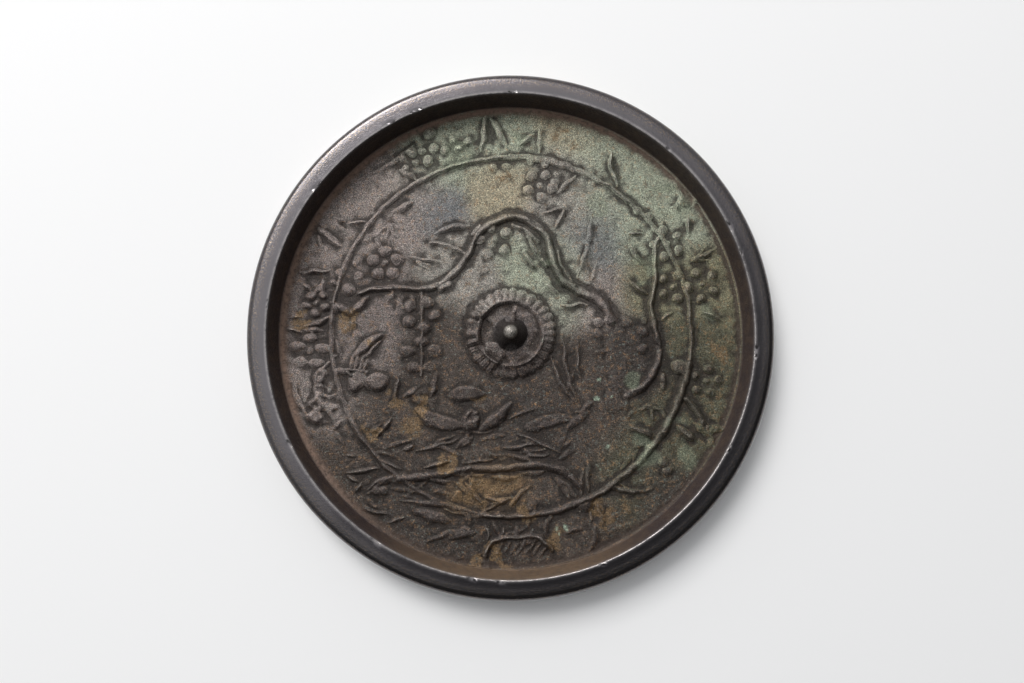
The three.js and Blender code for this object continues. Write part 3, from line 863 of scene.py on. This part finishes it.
def field_colour(shader, grain):
    """Speckled patina, darker metal on what stands up, painted shade in the hollows and spots of rust and
    green.
    """
    attribute, noise, ramp, mix, times = shader.attribute, shader.noise, shader.ramp, shader.mix, shader.times
    colour = attribute("patina", colour=True)
    colour = mix(times(ramp(noise(0.8, 5, 0.8), 0.53, 0.63), 0.6), colour, RUST_SPECK)
    colour = mix(times(ramp(noise(0.7, 5, 0.8), 0.45, 0.34), 0.55), colour, SAGE_SPECK)
    colour = mix(times(attribute("bare"), 0.6), colour, RELIEF_METAL)
    # painted shade: the hollows darkened almost to black
    colour = mix(ramp(attribute("cavity"), 0.0, -0.13, 0.0, 0.85), colour, HOLLOW_SHADE)
    ochre = times(attribute("ochre"), ramp(noise(0.7, 4, 0.7), 0.36, 0.52, 0.2, 1.3))
    colour = mix(ramp(ochre, 0.2, 0.9, 0.0, 0.72), colour, OCHRE)
    colour = mix(ramp(attribute("green"), 0.2, 0.9, 0.0, 0.4), colour, GREEN_FILM)
    # crests lighter: partly worn metal, partly a painted highlight
    colour = mix(ramp(attribute("crest"), 0.08, 0.3, 0.0, 0.35), colour, CREST_WEAR_AND_HIGHLIGHT)
    colour = mix(ramp(attribute("pale"), 0.25, 0.8, 0.0, 0.85), colour, VERDIGRIS)

    mottle = ramp(noise(0.8, 4, 0.7), 0.35, 0.65, 0.9, 1.1)
    blotch = ramp(noise(2.6, 5, 0.7), 0.32, 0.68, 0.87, 1.13)
    colour = shader.tinted(colour, times(times(grain, mottle), blotch))
    pits = ramp(noise(0.4, 3, 0.6), 0.38, 0.3)
    colour = mix(times(pits, 0.7), colour, PIT)
    specks = ramp(noise(0.33, 2, 0.5), 0.68, 0.74)
    colour = mix(times(specks, 0.6), colour, PALE_SPECK)
    # painted light at the wall's foot, which lifts the shadow of the wall, broken up by noise
    foot_light_breakup = ramp(noise(1.0, 4, 0.7), 0.3, 0.6, 0.3, 0.9)
    return mix(times(attribute("foot"), foot_light_breakup), colour, FOOT_PAINTED_LIGHT)


def wall_colour(shader):
    """Dark inner wall of the rim, with painted light at the bottom of the picture, where the wall faces the
    light.
    """
    colour = shader.mix(shader.ramp(shader.noise(2.2, 5, 0.7), 0.4, 0.65), WALL_DARK, WALL_BROWN)
    patchy = shader.ramp(shader.noise(1.2, 5, 0.7), 0.3, 0.6, 0.4, 1)
    # painted light on the wall that faces the light, lighter and browner, broken up by noise
    return shader.mix(shader.times(shader.attribute("wall_facing_light"), patchy), colour, WALL_LIT_SIDE)


def rim_colour(shader):
    """Smooth metal with brown grain towards the outside and a worn inner edge."""
    grain = shader.times(shader.ramp(shader.noise(0.4, 4, 0.7), 0.48, 0.66), shader.attribute("rim_outer"))
    colour = shader.mix(shader.times(grain, 0.7), RIM_METAL, RIM_WORN)
    patchy = shader.ramp(shader.noise(1.5, 3, 0.6), 0.3, 0.55, 0.3, 1)
    return shader.mix(shader.times(shader.attribute("rim_edge"), patchy), colour, RIM_EDGE)


def bronze_colour(shader):
    """Colours of all parts of the casting, each in its place."""
    grain = speckle(shader)
    # the knob's top lighter: a painted highlight
    knob_colour = shader.tinted(shader.mix(shader.attribute("tip"), KNOB_METAL, KNOB_TIP_HIGHLIGHT), grain)
    face_colour = shader.mix(shader.ramp(shader.noise(6, 6, 0.7), 0.35, 0.7), FACE_BROWN, FACE_GREEN)
    colour = field_colour(shader, grain)
    for name, part_colour in (("wall", wall_colour(shader)), ("rim", rim_colour(shader)),
                              ("knob", knob_colour), ("face", face_colour)):
        colour = shader.mix(shader.attribute(name), colour, part_colour)
    return colour


def bronze_metal(shader):
    """How metallic: fully on the rim, partly on the relief, less on the field and the wall."""
    worn = shader.math("ADD", shader.attribute("bare"), shader.times(shader.attribute("crest"), 2.0))
    metal = shader.times(shader.ramp(worn, 0, 1, 0.4, 0.75), shader.rest(shader.attribute("wall"), 0.8))
    return shader.math("MAXIMUM", shader.attribute("rim"), metal)


def bronze_roughness(shader):
    """Smooth on the rim, rough on the field, a little smoother on the relief."""
    rim = shader.attribute("rim")
    on_field = shader.times(shader.ramp(shader.noise(0.6, 4, 0.7), 0.3, 0.7, 0.36, 0.58),
                            shader.rest(shader.attribute("bare"), 0.25))
    on_rim = shader.math("ADD", shader.ramp(shader.noise(0.8, 4, 0.7), 0.3, 0.7, 0.14, 0.22),
                         shader.times(shader.attribute("rim_outer"), 0.04))
    return shader.math("ADD", shader.times(on_field, shader.rest(rim)), shader.times(on_rim, rim))


def bronze_bump(shader):
    """Fine pitting, which fades on the rim and on the relief."""
    bumps = shader.math("ADD", shader.times(shader.noise(0.24, 3, 0.65), 0.8), shader.noise(0.7, 5, 0.65))
    rim_share = shader.math("SUBTRACT", 0.94, shader.times(shader.attribute("rim_outer"), 0.1))
    smooth = shader.math("MAXIMUM", shader.times(shader.attribute("rim"), rim_share),
                         shader.times(shader.attribute("bare"), 0.45))
    depth = shader.times(bumps, shader.rest(smooth))
    return shader.node("ShaderNodeBump", {"Height": depth, "Strength": 1.0, "Distance": 0.26 * MM}).outputs[0]


def bronze_material():
    """Old bronze with its patina, all procedural."""
    shader = Shader("bronze_patina")
    return shader.finished({"Base Color": bronze_colour(shader), "Roughness": bronze_roughness(shader),
                            "Metallic": bronze_metal(shader), "Normal": bronze_bump(shader)})


paint(mirror)
mirror.data.materials.clear()
mirror.data.materials.append(bronze_material())
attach(mirror, "root")
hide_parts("mirror")


# ---------------------------------------------------------------- stage, light and camera
def floor():
    corners = [(x * FLOOR_HALF, y * FLOOR_HALF, 0) for x, y in ((-1, -1), (1, -1), (1, 1), (-1, 1))]
    ground = made("floor", corners, [(0, 1, 2, 3)])
    ground.location.z = -FLOOR_GAP * MM
    ground.data.materials.append(Shader("pale_floor").finished({"Base Color": FLOOR_WHITE, "Roughness": 0.9}))


def softbox(name, place, size, power, tint):
    """Square area light that faces the mirror. Place and size in metres, power in watts."""
    data = bpy.data.lights.new(name, "AREA")
    data.shape = "SQUARE"
    data.size = size
    data.energy = power
    data.color = tint
    lamp = bpy.data.objects.new(name, data)
    lamp.location = place
    bpy.context.collection.objects.link(lamp)
    lamp.rotation_mode = "QUATERNION"
    lamp.rotation_quaternion = (-lamp.location).to_track_quat("-Z", "Y")


def studio():
    """Two softboxes and a pale surround that is brighter towards the window, at the upper left."""
    softbox("key_light", (-0.36, 0.6, 0.75), 0.45, 7.7, (1.0, 0.99, 0.98))
    softbox("overhead_light", (-0.35, 0.5, 1.4), 1.3, 4.5, (1.0, 1.0, 1.0))
    world = bpy.data.worlds.new("studio")
    bpy.context.scene.world = world
    world.use_nodes = True
    nodes, links = world.node_tree.nodes, world.node_tree.links
    background = nodes["Background"]
    background.inputs["Color"].default_value = (0.95, 0.97, 1.0, 1)
    direction = nodes.new("ShaderNodeTexCoord")
    toward_window = nodes.new("ShaderNodeVectorMath")
    toward_window.operation = "DOT_PRODUCT"
    toward_window.inputs[1].default_value = WINDOW_DIRECTION
    falloff = nodes.new("ShaderNodeMapRange")
    for name, value in (("From Min", -0.3), ("From Max", 0.3), ("To Min", 0.07), ("To Max", 0.62)):
        falloff.inputs[name].default_value = value
    links.new(direction.outputs["Generated"], toward_window.inputs[0])
    links.new(toward_window.outputs["Value"], falloff.inputs["Value"])
    links.new(falloff.outputs["Result"], background.inputs["Strength"])


def camera():
    data = bpy.data.cameras.new("camera")
    data.sensor_width = 36
    data.lens = CAMERA_LENS
    data.clip_start = 0.005
    eye = bpy.data.objects.new("camera", data)
    eye.location = [value * MM for value in CAMERA_PLACE]
    eye.rotation_euler = (math.radians(CAMERA_TILT), 0, 0)
    bpy.context.collection.objects.link(eye)
    bpy.context.scene.camera = eye


floor()
studio()
camera()
bpy.context.scene.view_settings.view_transform = "Standard"
